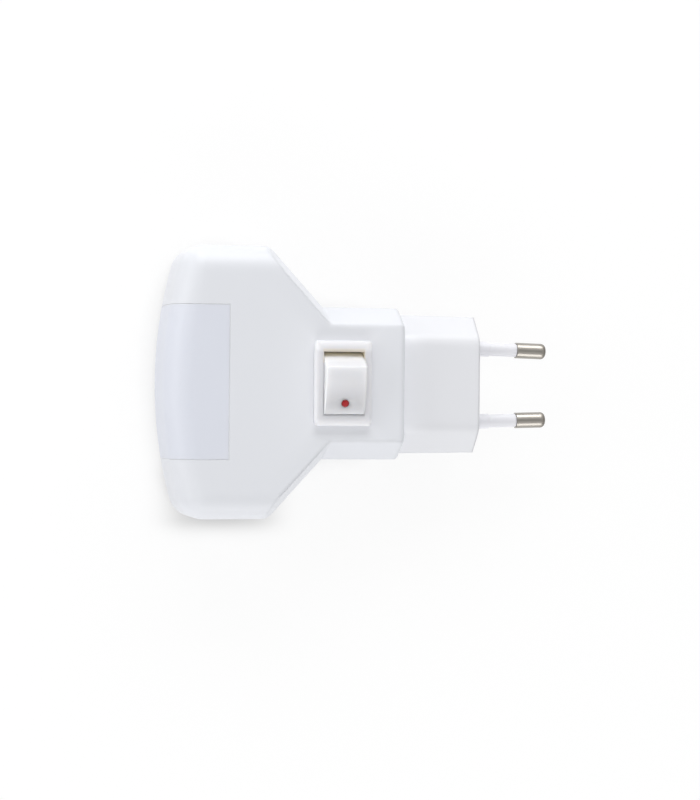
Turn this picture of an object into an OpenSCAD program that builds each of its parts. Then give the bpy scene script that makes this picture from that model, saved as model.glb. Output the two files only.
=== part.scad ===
// Plug-in night light: a fan-shaped head with a wrap-round diffuser, a neck with a rocker switch and
// a two-pin plug. +Y goes into the wall, +Z is the switch side, and the origin is the middle of the
// plug's face, between the pins. All sizes are in millimetres.

/* [Head] */
// Width of the head across its two sides
head_w = 67.4; // [64:0.1:74]
// Length of the head, from the neck to the middle of its curved front
head_l = 40.1; // [38:0.1:46]
// Thickness of the head and of the neck
body_t = 25; // [24.6:0.1:28]
// Rounding of the head's edges and of its two front corners
edge_r = 6.7; // [5.5:0.1:8]
// Radius of the curved front, seen from above
front_r = 109.75; // [95:0.05:150]
// Angle between the shoulders and the plug's axis
shoulder_angle = 47.5; // [44:0.5:52]
// Rounding of the corners between the shoulders and the sides
shoulder_r = 5.5; // [2:0.1:7]
// How far each shoulder leans in over the height of its bevel
shoulder_lean = 2.6; // [2:0.1:3.8]
// Wall of the two shells
wall = 2; // [1.6:0.1:2.4]

/* [Neck] */
// Width of the neck
neck_w = 37.8; // [37:0.1:41]
// Length of the neck
neck_l = 19.6; // [19.5:0.1:24]
// Width of the neck's long bevels, seen from above
bevel_w = 4.5; // [3.5:0.1:5.5]
// Height of the neck's long bevels, and of the shoulders' leaning part
bevel_h = 7; // [6:0.1:8]
// Chamfer of the rim at the plug end of the neck
rim_chamfer = 0.6; // [0.3:0.1:1]

/* [Seam and screws] */
// Height of the tongue that centres the two shells on each other
tongue_h = 1.5; // [1:0.1:2]
// Play between pieces that are put together by hand
play = 0.1; // [0.05:0.01:0.15]
// Distance of the screws from the sides of the head
screw_inset = 7.4; // [6.8:0.1:8.4]
// Distance of the screws behind the front corners' centres
screw_setback = 10; // [8:0.1:12]
// Shank of the housing screws
screw_d = 2; // [1.8:0.1:2.4]
// Head of the housing screws
screw_head_d = 4.6; // [4:0.1:5]
// Length of the housing screws under the head
screw_l = 9; // [8:0.1:10]
// Depth of the housing screws' seat below the parting plane
screw_seat = 4; // [3.5:0.1:5]

/* [Diffuser] */
// Width of the diffuser
diffuser_w = 37.9; // [36:0.1:42]
// How far the diffuser reaches back over the head
diffuser_reach = 15.55; // [14:0.05:17]
// Wall of the diffuser
diffuser_t = 2; // [1.6:0.1:2.4]
// Width of the ledge that carries the diffuser's edge
ledge_w = 1.6; // [1.2:0.1:2]
// Thickness of that ledge
ledge_t = 1.2; // [1:0.1:1.5]

/* [Plug] */
// Width of the plug where it leaves the neck
plug_w = 35; // [34.6:0.1:35.8]
// Width of the plug at its face
plug_face_w = 34.4; // [34:0.1:34.6]
// Thickness of the plug
plug_t = 13.7; // [13:0.1:14.2]
// Length of the plug outside the neck
plug_l = 21; // [19:0.1:25]
// Width and height of the plug's four bevels
plug_bevel = 6.15; // [5.8:0.05:6.3]
// Rounding between the plug's flats and its bevels
plug_r = 5; // [3:0.1:6]
// Thickness of the plug's flange inside the neck
flange_t = 2.2; // [1.8:0.1:2.6]

/* [Pins] */
// Diameter of the bare metal of the pins
pin_d = 4; // [3.9:0.01:4.1]
// Length of the pins in front of the plug's face
pin_l = 19.4; // [18.5:0.1:20]
// Length of the bare metal of the pins
pin_bare_l = 7.8; // [7:0.1:9]
// Distance between the pins at the plug's face
pin_gap = 18.6; // [18:0.1:19.2]
// Distance between the pins at their tips
pin_tip_gap = 17.5; // [17:0.1:18]
// Diameter of the pins' core inside the sleeves
core_d = 2.5; // [2.2:0.1:2.7]
// Diameter of the sleeves
sleeve_d = 3.35; // [3.2:0.05:3.5]
// Diameter of the sleeves' collars
collar_d = 3.8; // [3.7:0.05:4]
// Length of the sleeves' collars in front of the face
collar_l = 4.3; // [3:0.1:6]

/* [Switch] */
// Distance of the switch's middle from the head's shoulders
switch_setback = 3.6; // [3.4:0.1:6]
// Width of the bezel's rim at the two ends of the mouth
bezel_end = 2.5; // [2.3:0.05:2.9]
// Width of the bezel's rim at the two sides of the mouth
bezel_side = 2.05; // [1.8:0.05:2.4]
// Height of the bezel above the neck
bezel_h = 2; // [1.6:0.1:2.4]
// Rounding of the bezel's rim and corners
bezel_r = 1.1; // [0.6:0.1:1.4]
// Gap between the rocker's round skirts and the ends of the mouth
end_gap = 0.16; // [0.12:0.01:0.4]
// Depth of the switch's body below the neck's surface
switch_h = 12.7; // [12.4:0.1:13.5]
// Wall of the switch's body
switch_wall = 1.15; // [1:0.05:1.3]
// Total tilt of the rocker
rocker_throw = 30; // [26:1:32]
// Width of the rocker
rocker_w = 10.1; // [9.8:0.1:10.4]
// Gap between the rocker and the walls beside it
rocker_gap = 0.1; // [0.08:0.01:0.3]
// How far the rocker's end facets lean in from their foot to the ridge
facet_run = 1.5; // [1.3:0.05:2]
// Height of the rocker's ridges above its axle
ridge_h = 6.95; // [6.6:0.05:7.2]
// Crown of the rocker's face between the ridges
crown_h = 0.45; // [0.1:0.05:0.6]
// Length of the rocker at the foot of its end facets
rocker_l = 15; // [14.6:0.1:15.4]
// Height of the foot of the end facets above the axle
facet_foot = 2.3; // [2:0.1:2.6]
// Wall of the rocker
rocker_wall = 1.2; // [1:0.1:1.4]
// Depth of the rocker's axle below the top of the bezel
axle_drop = 4.9; // [4.7:0.1:5.2]
// Diameter of the rocker's axle stubs
axle_d = 2.5; // [2.2:0.1:2.8]
// Play of everything that turns or slides in the switch
running = 0.05; // [0.03:0.01:0.08]
// Diameter of the coloured dot
dot_d = 1.9; // [1.6:0.1:2.2]
// Distance of the dot's middle from the nearer ridge of the rocker
dot_inset = 2.8; // [2:0.05:3.2]

/* [Contacts] */
// Diameter of the rocker's hollow stem
stem_d = 4.2; // [4:0.1:4.6]
// Diameter of the sprung plunger in the stem
plunger_d = 2.4; // [2.2:0.1:2.6]
// Reach of the plunger's tip below the axle
plunger_reach = 5.6; // [5.4:0.1:5.7]
// Wire of the plunger's spring
spring_wire = 0.3; // [0.25:0.05:0.35]
// Turns of the plunger's spring
spring_turns = 6; // [4:1:7]
// Total tilt of the see-saw contact
seesaw_throw = 16; // [12:1:18]
// Length of the see-saw contact
seesaw_l = 11.8; // [11.2:0.1:12.4]
// Width of the see-saw contact
seesaw_w = 3.5; // [3:0.1:3.8]
// Thickness of the see-saw contact
seesaw_t = 0.8; // [0.7:0.05:0.9]
// Distance of the contact rivets from the see-saw's axis
rivet_x = 5; // [4.6:0.1:5.2]
// Diameter of the contact rivets
rivet_d = 1.8; // [1.6:0.1:2]
// Thickness of the terminals
terminal_t = 0.8; // [0.7:0.05:0.9]
// Width of the terminals
terminal_w = 4.8; // [4.6:0.1:5]
// Length of the terminals below the switch
terminal_l = 7.5; // [6:0.1:8]

/* [Light and driver] */
// Distance of the light board behind the middle of the front
led_setback = 18.7; // [18:0.1:20]
// Width of the light board
led_board_w = 34; // [32:0.5:36]
// Height of the light board
led_board_h = 17; // [16:0.1:17.6]
// Thickness of the circuit boards
board_t = 1.6; // [1.2:0.1:1.8]
// Number of lamps on the light board
led_count = 4; // [2:1:5]
// Side of one square lamp
led_size = 5; // [4:0.1:5.4]
// Height of one lamp
led_h = 1.6; // [1.4:0.1:1.8]
// Depth of the reflector
reflector_l = 5.5; // [4.5:0.1:6]
// Wall of the reflector at its rim
reflector_wall = 0.8; // [0.6:0.1:1.2]
// Width of the driver board
driver_w = 38; // [37:0.1:39]
// Length of the driver board
driver_l = 11.6; // [11.3:0.1:12]
// Height of the posts under the driver board
post_h = 2.6; // [2.2:0.1:3]
// Length of the film capacitor
film_l = 17; // [15:0.1:17.4]
// Thickness of the film capacitor
film_t = 6; // [5:0.1:6.2]
// Height of the film capacitor
film_h = 11.5; // [10:0.1:13]
// Diameter of the smoothing capacitor
can_d = 8; // [6.3:0.1:8.2]
// Height of the smoothing capacitor
can_h = 12; // [10:0.1:13]
// Diameter of the mains wires
wire_d = 1.5; // [1.2:0.1:1.7]
// Diameter of the two wires to the light board
led_wire_d = 1.1; // [0.9:0.1:1.3]

/* [Hidden] */
$fn = 64;

// Housing
half_t = body_t / 2;
half_w = head_w / 2;
half_neck = neck_w / 2;
inner_t = half_t - wall;
neck_y = -plug_l;
head_y = neck_y - neck_l;
front_y = head_y - head_l;
corner_x = half_w - edge_r;
arc_y = front_y + front_r;
corner_y = arc_y - sqrt(pow(front_r - edge_r, 2) - pow(corner_x, 2));
shoulder_y = head_y - (half_w - half_neck) / tan(shoulder_angle);
lean_angle = atan(shoulder_lean / bevel_h);
bevel_angle = atan(bevel_w / bevel_h);
far = 4 * head_w;

// Diffuser, its notch in the shells and the thicker frame of wall round it
notch_x = diffuser_w / 2;
notch_y = front_y + diffuser_reach;
frame_t = diffuser_t + ledge_t;
hook_l = 5;
hook_setback = 1;
hook_t = 1;
hook_x = notch_x - ledge_w - play - hook_t;

// Screws and their bosses
screw_x = half_w - screw_inset;
screw_y = corner_y + screw_setback;
screw_hole_d = screw_d + 0.8;
screw_head_h = 1.8;
boss_wall = 1.2;
boss_d = screw_head_d + 0.6 + 2 * boss_wall;
pilot_boss_d = screw_d + 4 * boss_wall;

// Plug insert
flange_front = neck_y - wall - play;
flange_back = flange_front - flange_t;
pin_angle = atan((pin_gap - pin_tip_gap) / 2 / pin_l);
pin_tail = 2.4;
pin_head_t = 1;
pin_head_d = core_d + 2;
pin_end = flange_back - play - pin_head_t - pin_tail;
sleeve_root = 3;
tip_r = pin_d * 0.3;
stop_rib_t = 1.5;
stop_rib_h = 3;
stop_rib_l = 9;

// Switch
switch_y = head_y + switch_setback;
bezel_top = half_t + bezel_h;
cavity_w = rocker_w + 2 * rocker_gap;
mouth_w = cavity_w + running;
mouth_depth = 0.5;
skirt_r = norm([rocker_l / 2, facet_foot]);
skirt_drop = 1.5;
mouth_l = 2 * (skirt_r + end_gap);
bezel_l = mouth_l + 2 * bezel_end;
bezel_w = mouth_w + 2 * bezel_side;
switch_body_l = mouth_l + 2 * switch_wall;
switch_body_w = cavity_w + 2 * switch_wall;
cutout_play = 0.2;
switch_foot = half_t - switch_h;
switch_floor = switch_foot + 1.2;
clip_out = 0.7;
clip_w = 6;
axle_z = bezel_top - axle_drop;
rest_tilt = rocker_throw / 2;
ridge_gap = rocker_l - 2 * facet_run;
crown_r = (pow(ridge_gap / 2, 2) + pow(crown_h, 2)) / (2 * crown_h);
dot_t = 0.5;
dot_x = ridge_gap / 2 - dot_inset;
dot_z = ridge_h + crown_h - crown_r + sqrt(pow(crown_r, 2) - pow(dot_x, 2));

// Stem, plunger and spring, with heights counted from the axle
stem_foot = -3.9;
bore_d = plunger_d + 2 * running;
bore_top = 2.1;
plunger_back = -2.2;
spring_d = plunger_d - spring_wire - 0.3;

// See-saw contact: its axis lies one fulcrum bar below it
pass_gap = 0.08;
seesaw_top = plunger_reach + pass_gap;
fulcrum_d = 1;
fulcrum_drop = 0.22;
seesaw_z = axle_z - seesaw_top - seesaw_t - fulcrum_drop;
seesaw_tilt = seesaw_throw / 2;
ear_gap = 0.15;
dome_r = 1.2;
dome_h = 0.5;
rivet_shank_d = 1;
foot_t = 0.6;
terminal_gap = 1.6;
dome_centre_x = rivet_x * cos(seesaw_tilt) + (fulcrum_drop - dome_h + dome_r) * sin(seesaw_tilt);
dome_centre_z = seesaw_z - rivet_x * sin(seesaw_tilt) + (fulcrum_drop - dome_h + dome_r) * cos(seesaw_tilt);
fixed_top = dome_centre_z - dome_r - running;
side_terminal_x = -rivet_x - terminal_gap;
pad_top = seesaw_z - seesaw_l / 2 * sin(seesaw_tilt) + fulcrum_drop * cos(seesaw_tilt) - 2 * running;

// Light board and reflector
led_y = front_y + led_setback;
led_back_y = led_y + board_t;
led_pitch = led_board_w * 0.21;
board_rib_x = led_board_w / 2 - 3;
board_rib_w = 3;
board_rib_t = 1.2;
board_grip = 1.2;
reflector_gap = 0.7;
reflector_w = 2 * (notch_x - ledge_w - reflector_gap - play);
reflector_h = 2 * (half_t - frame_t - reflector_gap);
reflector_base = 1;
reflector_flare = 1.6;

// Driver board and what stands on it
driver_foot = -inner_t + post_h;
driver_top = driver_foot + board_t;
driver_front = led_back_y + 1.3;
driver_back = driver_front + driver_l;
post_x = driver_w / 2 - 2.5;
post_inset = 2;
post_d = 4;
peg_d = 1.8;
lead_d = 0.6;
film_x = -driver_w / 2 + 1 + film_l / 2;
film_y = driver_front + 1.4 + film_t / 2;
can_x = film_x + film_l / 2 + 1.4 + can_d / 2;
can_y = driver_front + 1.2 + can_d / 2;
bridge_x = driver_w / 2 - 5.2;
bridge_y = driver_front + 3.4;
resistor_limit = post_x - post_d / 2 - 0.4;
fuse_d = 3;
fuse_l = 7;
fuse_span = 8.4;
fuse_x = (fuse_span + lead_d) / 2 - resistor_limit;
bleed_d = 2.4;
bleed_l = 5;
bleed_span = 6.4;
bleed_x = resistor_limit - (bleed_span + lead_d) / 2;
resistor_y = driver_back - 2.4;

function unit(v) = v / norm(v);

// What a rounded corner of an outline loses outside its arc. The arc reaches over both sides by lap
module corner_waste(before, corner, after, r, lap) {
    a = unit(before - corner);
    b = unit(after - corner);
    half = acos(a * b) / 2;
    centre = corner + unit(a + b) * r / sin(half);
    reach = r / tan(half);
    difference() {
        polygon([corner - unit(a + b) * r / 4, corner + a * reach, centre, corner + b * reach]);
        translate(centre) circle(r = r + lap);
    }
}

// A convex outline whose corners are rounded, each by its own radius
module rounded(points, radii, lap = 0) {
    count = len(points);
    difference() {
        polygon(points);
        for (i = [0 : count - 1])
            if (radii[i] > 0)
                corner_waste(points[(i + count - 1) % count], points[i], points[(i + 1) % count],
                    radii[i], lap);
    }
}

function box_points(x, y) = [[-x, -y], [x, -y], [x, y], [-x, y]];

// An outline in X and Z, extruded along Y between two planes
module along_y(from, to) {
    translate([0, to, 0]) rotate([90, 0, 0]) linear_extrude(to - from) children();
}

// An outline in Y and Z, extruded along X between two planes
module along_x(from, to) {
    translate([from, 0, 0]) rotate([90, 0, 90]) linear_extrude(to - from) children();
}

// Copies in mirror image across the middle plane
module both_sides() {
    children();
    mirror([1, 0, 0]) children();
}

// Hexagonal section of the neck, inset evenly by e
module neck_section(e) {
    x = half_neck - e;
    z = half_t - e;
    slip = e * tan(bevel_angle / 2);
    shift = e * tan((90 - bevel_angle) / 2);
    flat = half_neck - bevel_w - shift;
    side = half_t - bevel_h - slip;
    polygon([[-x, -side], [-flat, -z], [flat, -z], [x, -side], [x, side], [flat, z], [-flat, z], [-x, side]]);
}

// Plan of the head behind its front corners, inset by e, running on into the neck
module shoulder_plan(e) {
    x = half_w - e;
    inward = e / sin(shoulder_angle);
    turn = shoulder_y - inward + e / tan(shoulder_angle);
    tail_x = half_neck - bevel_w - 1;
    tail_y = turn + (x - tail_x) / tan(shoulder_angle);
    r = max(shoulder_r - e, 0.4);
    rounded([[-x, corner_y], [x, corner_y], [x, turn], [tail_x, tail_y], [-tail_x, tail_y], [-x, turn]],
        [0, 0, r, 0, 0, r]);
}

// The part of a shoulder that its leaning bevel takes away, on the upper +X side
module lean_waste(e) {
    across = shoulder_angle - 90;
    translate([half_neck, head_y, half_t - bevel_h]) rotate([0, 0, across]) rotate([lean_angle, 0, 0])
        translate([-far / 2, -e, -far / 8]) cube([far, far / 8, far / 4]);
}

// Region of the plan between the two front corners' centres and the front. Its middle reaches back into
// the flat part of the head
module front_region() {
    spread = corner_x / (arc_y - corner_y);
    depth = 2 * edge_r;
    polygon([[-corner_x, corner_y], [1 - corner_x, corner_y + 1], [corner_x - 1, corner_y + 1],
        [corner_x, corner_y], [corner_x + spread * depth, corner_y - depth],
        [-corner_x - spread * depth, corner_y - depth]]);
}

// Region of the plan round the +X front corner
module corner_region() {
    spread = corner_x / (arc_y - corner_y);
    depth = 2 * edge_r;
    polygon([[corner_x, corner_y], [corner_x + depth, corner_y],
        [corner_x + depth, corner_y - depth], [corner_x + spread * depth, corner_y - depth]]);
}

// Whole outer form of the head, inset evenly by e: curved front, ball corners, round sides and shoulders
module head_form(e) {
    h = half_t - e;
    r = edge_r - e;
    intersection() {
        translate([0, arc_y, 0]) rotate_extrude($fn = 512)
            rounded([[0, -h], [front_r - e, -h], [front_r - e, h], [0, h]], [0, r, r, 0]);
        linear_extrude(2 * body_t, center = true) front_region();
    }
    both_sides() intersection() {
        translate([corner_x, corner_y, 0]) {
            cylinder(r = r, h = 2 * (h - r), center = true);
            for (side = [-1, 1]) translate([0, 0, side * (h - r)]) sphere(r = r);
        }
        linear_extrude(2 * body_t, center = true) corner_region();
    }
    difference() {
        intersection() {
            translate([0, corner_y, 0]) rotate([-90, 0, 0]) linear_extrude(head_y + bevel_w - corner_y)
                rounded(box_points(half_w - e, h), [r, r, r, r]);
            linear_extrude(2 * body_t, center = true) shoulder_plan(e);
        }
        both_sides() {
            lean_waste(e);
            mirror([0, 0, 1]) lean_waste(e);
        }
    }
}

// Head and neck as one form, inset evenly by e
module body_form(e) {
    head_form(e);
    along_y(head_y - bevel_w, neck_y - e) neck_section(e);
}

// Slab in front of the diffuser's rear seam, grown by g sideways and backwards
module notch_slab(g) {
    translate([-notch_x - g, front_y - far, -far / 2])
        cube([2 * (notch_x + g), far + diffuser_reach + g, far]);
}

// Section of the plug, grown evenly by g
module plug_section(g) {
    x = plug_w / 2 + g;
    z = plug_t / 2 + g;
    flat = plug_w / 2 - plug_bevel + g * tan(22.5);
    side = plug_t / 2 - plug_bevel + g * tan(22.5);
    rounded([[-x, -side], [-flat, -z], [flat, -z], [x, -side], [x, side], [flat, z], [-flat, z], [-x, side]],
        [0.5, plug_r, plug_r, 0.5, 0.5, plug_r, plug_r, 0.5], 0.0005);
}

// The half of space above the parting plane
module upper_space() {
    translate([-far / 2, -far, 0]) cube([far, 2 * far, far]);
}

// One shell without its seam, bosses and ribs, for the half above the parting plane
module shell_wall() {
    intersection() {
        difference() {
            body_form(0);
            difference() {
                body_form(wall);
                notch_slab(ledge_w);
            }
            head_form(max(frame_t, wall + 0.2));
            difference() {
                notch_slab(0);
                head_form(diffuser_t + running);
            }
            notch_slab(-ledge_w);
            along_y(neck_y - 2 * wall, neck_y + 1) plug_section(play);
            rim_waste();
        }
        upper_space();
    }
}

// What the chamfered rim at the plug end of the neck loses on each of its upper faces
module rim_waste() {
    bevel_distance = half_neck * cos(bevel_angle) + (half_t - bevel_h) * sin(bevel_angle);
    both_sides() for (face = [[0, half_neck], [bevel_angle, bevel_distance], [90, half_t]])
        rotate([0, -face[0], 0]) translate([face[1] - rim_chamfer / 2, neck_y - rim_chamfer / 2, 0])
            rotate([0, 0, 45]) translate([0, -body_t / 2, -body_t]) cube([body_t / 2, body_t, 2 * body_t]);
}

// Ring of wall from inset a to inset b, where the shells' tongue runs
module seam_ring(a, b, low, high) {
    difference() {
        intersection() {
            difference() {
                body_form(a);
                body_form(b);
            }
            translate([-far / 2, -far, low]) cube([far, far + neck_y - wall - 1, high - low]);
        }
        notch_slab(2 * ledge_w);
    }
}

// Pair of ribs that grip the light board's edge, hanging from the roof on the +X side
module board_ribs() {
    reach = inner_t + wall / 2 - led_board_h / 2 + board_grip;
    difference() {
        translate([board_rib_x - board_rib_w / 2, led_y - board_rib_t - play, led_board_h / 2 - board_grip])
            cube([board_rib_w, board_t + 2 * (board_rib_t + play), reach]);
        translate([board_rib_x - board_rib_w, led_y - play, 0])
            cube([2 * board_rib_w, board_t + 2 * play, led_board_h / 2 + play]);
    }
}

// Rib that stops the plug's flange from being pushed in, hanging from the roof
module stop_rib() {
    translate([-stop_rib_l / 2, flange_back - play - stop_rib_t, inner_t - stop_rib_h])
        cube([stop_rib_l, stop_rib_t, stop_rib_h + wall / 2]);
}

module upper_shell() {
    color([0.93, 0.935, 0.95]) {
        difference() {
            union() {
                shell_wall();
                seam_ring(wall / 2 + play / 2, wall, -tongue_h, wall);
                both_sides() {
                    translate([screw_x, screw_y, 0]) cylinder(d = pilot_boss_d, h = half_t - wall / 2);
                    board_ribs();
                    translate([post_x, driver_back - post_inset, driver_top + play])
                        cylinder(d = post_d - 1, h = half_t - wall / 2 - driver_top - play);
                }
                stop_rib();
            }
            both_sides() translate([screw_x, screw_y, -1]) cylinder(d = screw_d + play, h = 1 + inner_t - 2);
            translate([-switch_body_l / 2 - cutout_play, switch_y - switch_body_w / 2 - cutout_play, 0])
                cube([switch_body_l + 2 * cutout_play, switch_body_w + 2 * cutout_play, body_t]);
        }
    }
}

module lower_shell() {
    color([0.93, 0.935, 0.95]) {
        difference() {
            union() {
                mirror([0, 0, 1]) {
                    shell_wall();
                    both_sides() {
                        translate([screw_x, screw_y, 0]) cylinder(d = boss_d, h = half_t - wall / 2);
                        board_ribs();
                    }
                    stop_rib();
                }
                both_sides() for (y = [driver_front + post_inset, driver_back - post_inset])
                    translate([post_x, y, -half_t + wall / 2]) {
                        cylinder(d = post_d, h = wall / 2 + post_h);
                        cylinder(d = peg_d, h = wall / 2 + post_h + board_t * 0.8);
                    }
            }
            seam_ring(wall / 2, wall + 1, -tongue_h - play, 1);
            both_sides() {
                translate([screw_x, screw_y, -far / 2]) cylinder(d = screw_hole_d, h = far);
                translate([screw_x, screw_y, -far / 2])
                    cylinder(d = screw_head_d + 0.6, h = far / 2 - screw_seat);
            }
        }
    }
}

// Hook on the diffuser's inside, which catches under the ledge on the +X side
module diffuser_hook() {
    depth = ledge_t + play + 1;
    back = notch_y - ledge_w - hook_setback;
    outside = hook_x + hook_t;
    catch_z = half_t - frame_t - 2 * play;
    along_y(back - hook_l, back)
        polygon([[hook_x, half_t - diffuser_t + 0.4], [hook_x, half_t - diffuser_t - depth],
            [outside, half_t - diffuser_t - depth], [outside + 0.5, catch_z - 0.3],
            [outside + 0.5, catch_z], [outside, catch_z], [outside, half_t - diffuser_t + 0.4]]);
}

module diffuser() {
    color([0.9, 0.9, 0.97]) {
        intersection() {
            difference() {
                head_form(0);
                head_form(diffuser_t);
            }
            notch_slab(-play);
        }
        both_sides() {
            diffuser_hook();
            mirror([0, 0, 1]) diffuser_hook();
        }
    }
}

module housing_screws() {
    color("silver") both_sides() translate([screw_x, screw_y, -screw_seat - play / 2]) {
        cylinder(d = screw_d, h = screw_l);
        difference() {
            translate([0, 0, -screw_head_h]) intersection() {
                cylinder(d = screw_head_d, h = screw_head_h);
                translate([0, 0, screw_head_d * 0.75]) sphere(r = screw_head_d * 0.75);
            }
            for (turn = [0, 90]) rotate([0, 0, turn])
                translate([-screw_head_d * 0.28, -0.3, -screw_head_h - 1])
                    cube([screw_head_d * 0.56, 0.6, 1.9]);
        }
    }
}

// Places what follows a pin's axis: +Z runs out of the plug's face. side is -1 for live, 1 for neutral
module on_pin(side) {
    translate([side * pin_gap / 2, 0, 0]) rotate([0, 0, side * pin_angle]) rotate([-90, 0, 0]) children();
}

module plug_body() {
    color([0.94, 0.94, 0.955]) difference() {
        union() {
            intersection() {
                along_y(flange_back, 0) plug_section(0);
                linear_extrude(2 * body_t, center = true)
                    polygon([[-plug_w, flange_back], [plug_w, flange_back], [plug_w / 2, neck_y],
                        [plug_face_w / 2, 0], [-plug_face_w / 2, 0], [-plug_w / 2, neck_y]]);
                along_y(flange_front - 0.05, 1) square(far, center = true);
            }
            along_y(flange_back, flange_front) neck_section(wall + 2 * play);
        }
        for (side = [-1, 1]) on_pin(side) {
            translate([0, 0, flange_back - 1]) cylinder(d = core_d + 2 * running, h = plug_l + far);
            translate([0, 0, -sleeve_root]) cylinder(d = collar_d + 2 * play, h = far);
        }
    }
}

module pin(side) {
    tip = pin_l / cos(pin_angle);
    r = pin_d / 2;
    on_pin(side) {
        rotate_extrude()
            rounded([[0, tip - pin_bare_l], [r, tip - pin_bare_l], [r, tip], [0, tip]], [0, 0, tip_r, 0]);
        translate([0, 0, pin_end]) cylinder(d = core_d, h = tip - pin_bare_l - pin_end);
        translate([0, 0, flange_back - play - pin_head_t]) cylinder(d = pin_head_d, h = pin_head_t);
    }
}

module live_pin() {
    color([0.78, 0.76, 0.72]) pin(-1);
}

module neutral_pin() {
    color([0.78, 0.76, 0.72]) pin(1);
}

module pin_sleeve(side) {
    tip = pin_l / cos(pin_angle);
    on_pin(side) difference() {
        union() {
            translate([0, 0, -sleeve_root + running])
                cylinder(d = collar_d, h = collar_l + sleeve_root - running);
            cylinder(d = sleeve_d, h = tip - pin_bare_l - running);
        }
        translate([0, 0, -far / 2]) cylinder(d = core_d + running, h = far);
    }
}

module live_sleeve() {
    color([0.95, 0.95, 0.96]) pin_sleeve(-1);
}

module neutral_sleeve() {
    color([0.95, 0.95, 0.96]) pin_sleeve(1);
}

// Bezel of the switch: a low pad whose rim and corners are rounded alike
module bezel() {
    low = half_t + running;
    x = bezel_l / 2;
    y = bezel_w / 2;
    intersection() {
        translate([0, switch_y, low]) linear_extrude(bezel_top - low)
            rounded(box_points(x, y), [bezel_r, bezel_r, bezel_r, bezel_r]);
        along_y(switch_y - y, switch_y + y)
            rounded([[-x, low], [x, low], [x, bezel_top], [-x, bezel_top]], [0, 0, bezel_r, bezel_r]);
        along_x(-x, x) translate([switch_y, 0])
            rounded([[-y, low], [y, low], [y, bezel_top], [-y, bezel_top]], [0, 0, bezel_r, bezel_r]);
    }
}

// Slot through the switch's floor for a terminal at x
module terminal_slot(x) {
    translate([x - terminal_t / 2 - running, switch_y - terminal_w / 2 - running, switch_foot - 1])
        cube([terminal_t + 2 * running, terminal_w + 2 * running, switch_floor - switch_foot + 2]);
}

module switch_frame() {
    depth = half_t - switch_foot;
    clip_top = inner_t - play;
    color([0.95, 0.945, 0.935]) {
        difference() {
            union() {
                bezel();
                translate([-switch_body_l / 2, switch_y - switch_body_w / 2, switch_foot])
                    cube([switch_body_l, switch_body_w, depth + bezel_h / 2]);
                both_sides() along_y(switch_y - clip_w / 2, switch_y + clip_w / 2)
                    polygon([[switch_body_l / 2 - 0.5, clip_top], [switch_body_l / 2 + clip_out, clip_top],
                        [switch_body_l / 2 + clip_out, clip_top - 0.8],
                        [switch_body_l / 2 - 0.5, clip_top - 5]]);
            }
            translate([-mouth_l / 2, switch_y - mouth_w / 2, bezel_top - mouth_depth])
                cube([mouth_l, mouth_w, mouth_depth + 1]);
            translate([-mouth_l / 2, switch_y - cavity_w / 2, switch_floor])
                cube([mouth_l, cavity_w, body_t]);
            translate([0, switch_y, axle_z]) rotate([90, 0, 0])
                cylinder(d = axle_d + 2 * running, h = switch_body_w + 2, center = true);
            terminal_slot(0);
            terminal_slot(side_terminal_x);
        }
        translate([rivet_x - 1, switch_y - seesaw_w / 2, switch_floor - 0.2])
            cube([seesaw_l / 2 - rivet_x + 1.6, seesaw_w, pad_top - switch_floor + 0.2]);
    }
}

// Places what tilts with the rocker: the axle is the origin, and rest is tilted towards +X
module on_rocker() {
    translate([0, switch_y, axle_z]) rotate([0, rest_tilt, 0]) children();
}

// Side outline of the rocker: crowned face, two end facets and round skirts
module rocker_outline() {
    foot_x = rocker_l / 2;
    ridge_x = ridge_gap / 2;
    polygon([[-foot_x, facet_foot], [foot_x, facet_foot], [ridge_x, ridge_h], [-ridge_x, ridge_h]]);
    intersection() {
        translate([0, ridge_h + crown_h - crown_r]) circle(r = crown_r, $fn = 512);
        translate([-rocker_l, ridge_h]) square([2 * rocker_l, 2 * crown_h]);
    }
    intersection() {
        circle(r = skirt_r);
        translate([-rocker_l, -skirt_drop]) square([2 * rocker_l, skirt_drop + facet_foot]);
    }
}

// Hollow of the rocker, seen from the side
module rocker_hollow() {
    foot_x = rocker_l / 2 - rocker_wall;
    ridge_x = ridge_gap / 2 - rocker_wall * 0.7;
    polygon([[-foot_x, -2 * skirt_drop], [foot_x, -2 * skirt_drop], [foot_x, facet_foot],
        [ridge_x, ridge_h - rocker_wall], [-ridge_x, ridge_h - rocker_wall], [-foot_x, facet_foot]]);
}

module rocker() {
    inside = rocker_w / 2 - rocker_wall;
    axle_reach = cavity_w / 2 + switch_wall - play;
    color([0.965, 0.96, 0.955]) on_rocker() difference() {
        union() {
            difference() {
                along_y(-rocker_w / 2, rocker_w / 2) rocker_outline();
                along_y(-inside, inside) rocker_hollow();
            }
            translate([0, 0, stem_foot]) cylinder(d = stem_d, h = ridge_h - rocker_wall / 2 - stem_foot);
            translate([-rocker_wall / 2, -inside - 0.1, bore_top + 0.8])
                cube([rocker_wall, 2 * inside + 0.2, ridge_h - rocker_wall / 2 - bore_top - 0.8]);
            for (side = [-1, 1]) rotate([-90 * side, 0, 0])
                translate([0, 0, inside]) cylinder(d = axle_d, h = axle_reach - inside);
        }
        translate([0, 0, stem_foot - 1]) cylinder(d = bore_d, h = bore_top - stem_foot + 1);
        translate([dot_x, 0, dot_z - dot_t - running]) cylinder(d = dot_d + 2 * running, h = 2);
    }
}

module red_dot() {
    color([0.72, 0.12, 0.14]) on_rocker() translate([dot_x, 0, dot_z - dot_t]) cylinder(d = dot_d, h = dot_t);
}

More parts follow.
